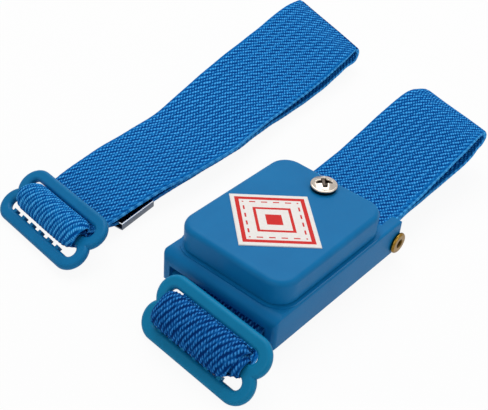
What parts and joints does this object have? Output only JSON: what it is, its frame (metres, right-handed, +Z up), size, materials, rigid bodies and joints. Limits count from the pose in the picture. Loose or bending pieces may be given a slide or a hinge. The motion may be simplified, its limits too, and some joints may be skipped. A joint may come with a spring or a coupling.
{
  "type": "wrist strap",
  "caption": "Cordless grounding wrist strap: clip-together plastic housing with discharge screw, riveted elastic band and slider, with a spare elastic band and slider.",
  "frame": {"origin": "on the surface that the set lies on, under the middle of the housing's lid", "axes": "+X from the slider end to the riveted end, +Y towards the spare band, +Z up"},
  "size_m": [0.1285, 0.0882, 0.019],
  "materials": {
    "housing_plastic": "fine satin",
    "slider_plastic": "fine satin",
    "elastic": "knitted elastic webbing",
    "screw_steel": "nickel plated",
    "plate_steel": "rolled sheet",
    "rivet_brass": "tumbled",
    "terminal_brass": "stamped sheet",
    "label_film": "printed film",
    "resistor_coat": "lacquer",
    "tinned_wire": "tinned"
  },
  "bodies": {
    "housing": {"housing_lid": "housing_plastic", "housing_base": "housing_plastic", "discharge_screw": "screw_steel", "hex_nut": "screw_steel", "ring_terminal": "terminal_brass", "resistor": "resistor_coat", "resistor_leads": "tinned_wire", "rivet_terminal": "terminal_brass", "strap_rivet": "rivet_brass", "label": "label_film", "wrist_band": "elastic", "under_run": "elastic", "front_loop": "elastic", "second_band": "elastic", "second_front_run": "elastic", "second_wrap": "elastic", "second_strap_end": "elastic", "contact_plate": "plate_steel"},
    "strap_loop": {"slider_wrap": "elastic", "strap_end": "elastic"},
    "slider": {"slider": "slider_plastic"},
    "second_slider": {"second_slider": "slider_plastic"}
  },
  "joints": [
    {"name": "slider_slide", "type": "slide", "parent": "housing", "child": "strap_loop", "axis": [-1, 0, 0], "range_m": [0, 0.015], "deforming": ["front_loop", "under_run"]},
    {"name": "slider_tilt", "type": "hinge", "parent": "strap_loop", "child": "slider", "pos_m": [-0.03055, -0.0055, 0.00592], "axis": [0.075, 0.9972, 0], "range_deg": [0, 10]},
    {"name": "second_slider_tilt", "type": "hinge", "parent": "housing", "child": "second_slider", "pos_m": [-0.0263, 0.046, 0.00473], "axis": [0.1253, 0.9915, -0.0349], "range_deg": [0, 8]}
  ]
}
